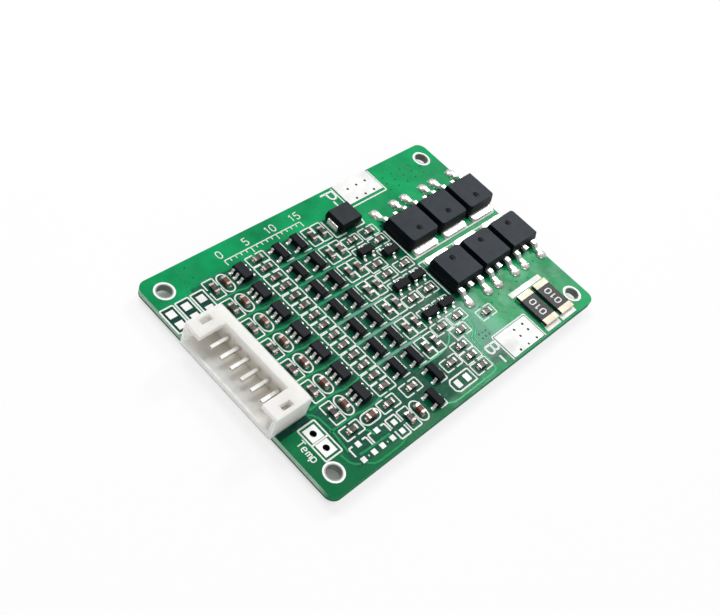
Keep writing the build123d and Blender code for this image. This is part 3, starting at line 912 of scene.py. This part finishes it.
def legend():
    """All the white print on the board, in its four weights."""
    printed("component_frames", component_frames(), PRINT_WIDTH)
    printed("board_marks", board_marks(), MARK_WIDTH)
    down = -pi / 2
    lines = lettering("P", 5.0, 19.3, down, 2.5, 1) + lettering("-", 5.0, 17.5, down, 2.5, 1)
    lines += lettering("B", 5.75, -15.75, down, 2.3, 1) + lettering("-", 5.6, -17.9, down, 2.4, 1)
    printed("terminal_letters", lines, LETTER_WIDTH)
    lines = lettering("Temp", -28.55, -11.2, down, 1.15, 0.78)
    lines += scale_print(-16.6, 15, 17.0)
    for text, x in (("0", -16.95), ("5", -11.95), ("10", -7.6), ("15", -2.6)):
        lines += lettering(text, x, 17.6, 0, 1.25, 0.85)
    printed("scale_and_sensor_letters", lines, FINE_PRINT_WIDTH, 0.06)


def shunt_numbers():
    """Plain value numbers on the two shunts."""
    lines = []
    for number in SHUNTS:
        middle = centre(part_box(f"shunt_core_{number}"))
        lines += lettering("010", middle.x + 0.62, middle.y - 1.45, pi / 2, 1.25, 0.85)
    obj = strokes("shunt_numbers", lines, SHUNT_PRINT_WIDTH, SHUNT_PRINT_HEIGHT, 0.06)
    height_over_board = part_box("shunt_core_1")[1].z / MM - BOARD_TOP
    obj.location.z = height_over_board * MM
    settle(obj)
    finished(obj, "shunt_numbers", INK)


# Tracks, solder and thin plates


def tracks():
    """Raised tracks under the lacquer."""
    lines = []
    for y in ROWS:
        lines.append(open_line(
            (-23.6, y - 1.95), (-18.2, y - 1.95), (-17.7, y - 2.25), (-14.6, y - 2.25),
            (-14.1, y - 1.98), (-11.0, y - 1.98),
        ))
    lines += [
        open_line((-24.3, -8.9), (-23.4, -9.6), (-23.2, -12.4), (-23.4, -14.1), (-23.6, -16.1)),
        open_line((-24.8, -15.8), (-24.7, -16.9), (-24.5, -17.6), (-23.5, -18.3)),
        open_line((-22.7, -18.6), (-22.2, -19.2), (-21.4, -19.5), (-16.4, -19.5), (-15.4, -19.1)),
        open_line((-22.6, -17.25), (-20.2, -17.35), (-16.9, -17.4)),
        open_line((-19.7, -14.9), (-18.9, -15.2), (-18.8, -16.3)),
    ]
    track("narrow_tracks", lines, TRACK_WIDTH, TRACK_FINISH, 0.5)

    lines = [
        open_line((-23.7, 19.7), (-23.7, 16.4), (-24.6, 15.4), (-24.7, 14.9)),
        open_line((-23.4, 15.95), (-22.5, 15.75), (-18.0, 15.6)),
    ]
    track("pour_edges", lines, POUR_EDGE_WIDTH, POUR_FINISH)

    lines = []
    for row in sorted(ROWS)[1:]:
        y = row - ROW_PITCH / 2
        lines.append(open_line((-10.4, y), (-4.0, y), (-3.4, y - 0.2), (-0.9, y - 0.2)))
    # The near pours take the paler finish as painted sheen.
    track("near_pours", lines[:3], POUR_WIDTH, POUR_PAINTED_SHEEN_FINISH)
    track("far_pours", lines[3:], POUR_WIDTH, POUR_FINISH)

    lines = [
        open_line((4.9, -15.9), (4.8, -18.8), (4.2, -19.4), (-4.8, -19.45), (-6.1, -19.2), (-6.9, -18.5)),
        open_line((-5.5, -12.4), (-1.2, -12.6), (0.9, -12.3), (2.4, -11.6), (3.0, -10.7)),
    ]
    for reach in (0.0, CURVE_GAP):
        lines.append(open_line(
            (7.5 + reach, -9.4), (7.5 + reach, -11.7), (6.9 + reach, -12.6),
            (5.7 + reach, -13.1), (5.1 + reach, -13.8), (5.0 + reach, -15.7),
        ))
    track("corner_tracks", lines, CURVE_WIDTH, CURVE_FINISH)


def lead_toes():
    """Where each small lead meets the board, and how its solder is turned."""
    toes = []
    groups = [(f"monitor_leads_{number}", f"monitor_body_{number}") for number in MONITORS]
    groups += [(f"{kind}_transistor_leads", f"{kind}_transistor_bodies") for kind in TRANSISTOR_KINDS]
    for lead_node, body_node in groups:
        bodies = [(centre(box), (box[1] - box[0]) / MM) for box in solids(body_node)]
        for low, high in solids(lead_node):
            lead = centre((low, high))
            body, size = min(bodies, key=lambda pair: (pair[0] - lead).length)
            offset = lead - body
            if abs(offset.x) - size.x / 2 > abs(offset.y) - size.y / 2:
                toes.append(((high.x if offset.x > 0 else low.x) / MM, lead.y, 0.0))
            else:
                toes.append((lead.x, (high.y if offset.y > 0 else low.y) / MM, pi / 2))
    return toes


def solder_drops():
    """Solder at the ends of the chips and at the feet of the leads."""
    drop = mound()
    places = []
    for x, y, turn in RESISTORS + CAPACITORS:
        for side in (-1, 1):
            reach = side * (CHIP_HALF_LENGTH + 0.02)
            places.append((x + reach * cos(turn), y + reach * sin(turn), BOARD_TOP, turn, CHIP_DROP))
    repeated(drop, places, "chip_solder", CHIP_SOLDER)
    places = [(x, y, BOARD_TOP, turn, LEAD_DROP) for x, y, turn in lead_toes()]
    repeated(drop, places, "lead_solder", SOLDER)
    places = []
    for number in POWER_PARTS:
        outward = 1 if number in FAR_POWER_PARTS else -1
        for low, high in power_leads(number):
            toe = (high.y if outward > 0 else low.y) / MM
            places.append((centre((low, high)).x, toe - outward * 0.2, BOARD_TOP, 0.0, POWER_DROP))
    repeated(drop, places, "power_lead_solder", SOLDER)
    bpy.data.objects.remove(drop)


WIRE_PAD_HOLES = (
    (10.3, 18.3), (12.3, 18.3), (14.3, 18.3), (10.3, 16.1), (12.3, 16.1), (14.3, 16.1),
    (12.6, -16.2), (14.7, -16.2), (12.6, -17.5), (14.7, -17.4),
    (10.6, -19.2), (12.6, -19.2), (14.7, -19.2),
)


def via_spots():
    """Vias in the poured corner, behind and before the power transistors, and at the board's ends."""
    spots = [(7.0 + 0.78 * i, -13.6 - 0.8 * j) for i in range(3) for j in range(2)]
    for column in range(5):
        for row in range(3):
            spots.append((16.8 + 2.1 * column + 0.4 * row, 14.6 + 1.3 * row))
    for column in range(6):
        spots.append((11.2 + 2.4 * column, -10.2 - 0.5 * (column % 2)))
    return spots + [(-22.3, 18.9), (-22.4, 16.9), (26.9, -8.9), (27.9, -7.6)]


def pad_dots():
    """The small through holes in the two wire pads, drawn as dark discs of painted shade, and the vias."""
    plate = disc()
    lift = BOARD_TOP + WIRE_PAD_HEIGHT
    places = [(x, y, lift, 0, (DOT_RADIUS, DOT_RADIUS, 1)) for x, y in WIRE_PAD_HOLES]
    repeated(plate, places, "wire_pad_holes", DOT_SHADE)
    places = [(x, y, BOARD_TOP, 0, (VIA_RADIUS, VIA_RADIUS, 1)) for x, y in via_spots()]
    repeated(plate, places, "vias", VIA_SHADE)
    bpy.data.objects.remove(plate)


def plate_places(rectangles):
    """Places of thin plates, from the low and high corners of each."""
    return [
        ((low_x + high_x) / 2, (low_y + high_y) / 2, BOARD_TOP, 0.0, (high_x - low_x, high_y - low_y, 1))
        for low_x, low_y, high_x, high_y in rectangles
    ]


def painted_shade_patches():
    """Dark rectangles of painted shade and shadow on the lacquer: the header's shadow by its near end, shade
    under and round the transistors, chips and shunts, and dark fields inside the link frames.
    """
    low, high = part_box("header_housing")
    # Painted shadow of the header: a dark band along its near end.
    rectangles = [(-29.9, low.y / MM - 1.0, high.x / MM, low.y / MM + 0.2)]
    for x in LINK_COLUMNS:
        rectangles.append((x - 0.95, 10.45, x + 0.95, 14.45))
    # Painted shade under and round the monitor chips, the small transistors, the chip resistors and
    # capacitors, the power transistors and the shunts.
    x = centre(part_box("monitor_body_1")).x
    for y in ROWS:
        rectangles.append((x - 1.55, y - 1.6, x + 1.5, y + 1.5))
    for middle in BLEED + SIGNAL:
        rectangles.append((middle.x - 1.3, middle.y - 1.5, middle.x + 1.3, middle.y + 1.5))
    for x, y, turn in RESISTORS + CAPACITORS:
        along, across = (0.55, 0.62) if turn == 0.0 else (0.62, 0.55)
        rectangles.append((x - along, y - across, x + along, y + across))
    for number in POWER_PARTS:
        low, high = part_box(f"mosfet_body_{number}")
        # Each power transistor's patch reaches past its body on the side of its leads, as painted shadow.
        before, behind = (0.0, 0.55) if number in FAR_POWER_PARTS else (0.75, 0.0)
        rectangles.append((low.x / MM - 0.2, low.y / MM - before, high.x / MM, high.y / MM + behind))
    for number in SHUNTS:
        low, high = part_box(f"shunt_core_{number}")
        rectangles.append((low.x / MM - 0.25, low.y / MM + 0.8, high.x / MM + 0.2, high.y / MM - 0.8))
    return rectangles


def part_pads():
    """Rectangles of tinned pads that show round the shunts and the power transistors."""
    rectangles = [
        (17.3, -12.1, 25.3, -11.15), (17.4, -19.6, 20.95, -18.7), (21.4, -19.6, 25.2, -18.7),
    ]
    for number in FAR_POWER_PARTS:
        for low, high in power_leads(number):
            x, toe = (low.x + high.x) / 2 / MM, high.y / MM
            rectangles.append((x - 0.72, toe - 1.1, x + 0.72, toe + 0.62))
    for number in POWER_PARTS:
        low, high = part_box(f"mosfet_metal_{number}")
        x = (low.x + high.x) / 2 / MM
        if number in FAR_POWER_PARTS:
            rectangles.append((x - 2.75, low.y / MM - 0.12, x + 2.75, low.y / MM + 1.0))
        else:
            rectangles.append((x - 2.75, high.y / MM - 1.0, x + 2.75, high.y / MM + 0.12))
    return rectangles


def thin_plates():
    """The dark patches of painted shade and shadow, and the tinned pads, a few hundredths of a millimetre
    high.
    """
    plate = tile()
    repeated(plate, plate_places(painted_shade_patches()), "painted_shade_patches", PAINTED_SHADE_FINISH)
    repeated(plate, plate_places(part_pads()), "part_pads", PAD_TIN)
    bpy.data.objects.remove(plate)


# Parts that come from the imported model


def eased_bodies():
    """Moulded bodies with the slightly rounded edges of real mouldings."""
    softened("header_housing", "header_moulding", 0.15, NYLON)
    for number in POWER_PARTS:
        softened(f"mosfet_body_{number}", f"power_body_{number}", 0.09, POWER_BODY)
    softened("diode_body", "diode_moulding", 0.07, DIODE_BODY)
    for number in MONITORS:
        softened(f"monitor_body_{number}", f"monitor_moulding_{number}", 0.05, SMALL_BODY)
    for kind in TRANSISTOR_KINDS:
        bodies, mouldings = f"{kind}_transistor_bodies", f"{kind}_transistor_mouldings"
        softened(bodies, mouldings, 0.05, SMALL_BODY)


def dress_nodes():
    """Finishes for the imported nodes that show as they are."""
    finishes = {
        "circuit_board": BOARD_FINISH, "mount_rings": RING_TIN, "sensor_pads": PAD_TIN,
        "discharge_pad": PAD_TIN, "battery_pad": PAD_TIN, "bare_pads": PAD_TIN,
        "header_solder_joints": SOLDER, "diode_terminals": BRIGHT_TIN,
        "cell_resistor_cores": RESISTOR_GLAZE, "driver_resistor_cores": RESISTOR_GLAZE,
        "cell_resistor_terminals": CHIP_END, "driver_resistor_terminals": CHIP_END,
        "capacitor_cores": CAPACITOR_CERAMIC, "capacitor_terminals": CHIP_END,
    }
    for number in PINS:
        finishes[f"header_pin_{number}"] = PIN_METAL
    for number in MONITORS:
        finishes[f"monitor_leads_{number}"] = BRIGHT_TIN
    for number in POWER_PARTS:
        finishes[f"mosfet_metal_{number}"] = BRIGHT_TIN
    for number in SHUNTS:
        finishes[f"shunt_core_{number}"] = SHUNT_GLAZE
        finishes[f"shunt_terminals_{number}"] = SHUNT_END
    for kind in TRANSISTOR_KINDS:
        finishes[f"{kind}_transistor_leads"] = BRIGHT_TIN
    for node, material in finishes.items():
        dress(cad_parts[node], material)


# Studio

# Where the camera stands and what it points at, with its roll and its lens
CAMERA_PLACE = Vector((-92.0, -42.26, 105.72 + BOARD_TOP)) * MM
CAMERA_AIM = Vector((-5.225, 0.006, BOARD_TOP)) * MM
CAMERA_ROLL = radians(24.76)
CAMERA_LENS = 49.78

# Towards the brightest part of the sky
SKY_DIRECTION = (0.42, 0.36, 0.83)


def facing(place, aim):
    """The turn that points a camera or a lamp from a place at a point."""
    return (Vector(aim) - Vector(place)).to_track_quat("-Z", "Y")


def camera():
    """The photograph's view of the board."""
    data = bpy.data.cameras.new("camera")
    data.lens = CAMERA_LENS
    data.sensor_width = 36
    data.clip_start = 0.005
    obj = placed("camera", data)
    obj.location = CAMERA_PLACE
    obj.rotation_mode = "QUATERNION"
    obj.rotation_quaternion = facing(CAMERA_PLACE, CAMERA_AIM) @ Quaternion((0, 0, 1), CAMERA_ROLL)
    bpy.context.scene.camera = obj


def studio_floor():
    """A wide white floor under the board."""
    bpy.ops.mesh.primitive_plane_add(size=6, location=(0, 0, FLOOR_HEIGHT * MM))
    floor = bpy.context.object
    floor.name = "studio_floor"
    floor.data.materials.append(shaded_floor())


def softbox(name, place, aim, size, power):
    """An oblong area lamp that faces a point, in metres and watts."""
    lamp = bpy.data.lights.new(name, "AREA")
    lamp.shape = "RECTANGLE"
    lamp.size, lamp.size_y = size
    lamp.energy = power
    obj = placed(name, lamp)
    obj.location = place
    obj.rotation_mode = "QUATERNION"
    obj.rotation_quaternion = facing(place, aim)


def studio_world():
    """Soft even light, with plain white behind the object."""
    world = bpy.data.worlds.new("studio_world")
    world.use_nodes = True
    bpy.context.scene.world = world
    nodes, links = world.node_tree.nodes, world.node_tree.links
    towards = nodes.new("ShaderNodeVectorMath")
    towards.operation = "DOT_PRODUCT"
    links.new(nodes.new("ShaderNodeTexCoord").outputs["Generated"], towards.inputs[0])
    towards.inputs[1].default_value = SKY_DIRECTION
    sky = nodes.new("ShaderNodeMapRange")
    limits = {"From Min": 0.1, "From Max": 1.0, "To Min": 0.16, "To Max": 0.77}
    for name, number in limits.items():
        sky.inputs[name].default_value = number
    links.new(towards.outputs["Value"], sky.inputs["Value"])
    strength = nodes.new("ShaderNodeMapRange")
    strength.inputs["To Max"].default_value = 1.0
    links.new(nodes.new("ShaderNodeLightPath").outputs["Is Camera Ray"], strength.inputs["Value"])
    links.new(sky.outputs["Result"], strength.inputs["To Min"])
    links.new(strength.outputs["Result"], nodes["Background"].inputs["Strength"])
    nodes["Background"].inputs["Color"].default_value = (1, 1, 1, 1)


camera()
eased_bodies()
dress_nodes()
legend()
tracks()
solder_drops()
pad_dots()
thin_plates()
shunt_numbers()
studio_floor()
studio_world()
softbox("key_light", place=(0.016, 0.20, 0.385), aim=(0, 0, 0), size=(0.13, 0.13), power=0.66)
softbox("fill_light", place=(-0.20, -0.30, 0.12), aim=(-0.02, 0, 0), size=(0.24, 0.24), power=0.34)
softbox("sheen_light", place=(0.36, 0.096, 0.37), aim=(0.010, -0.012, 0), size=(0.08, 0.14), power=0.70)
bpy.context.scene.view_settings.view_transform = "Standard"
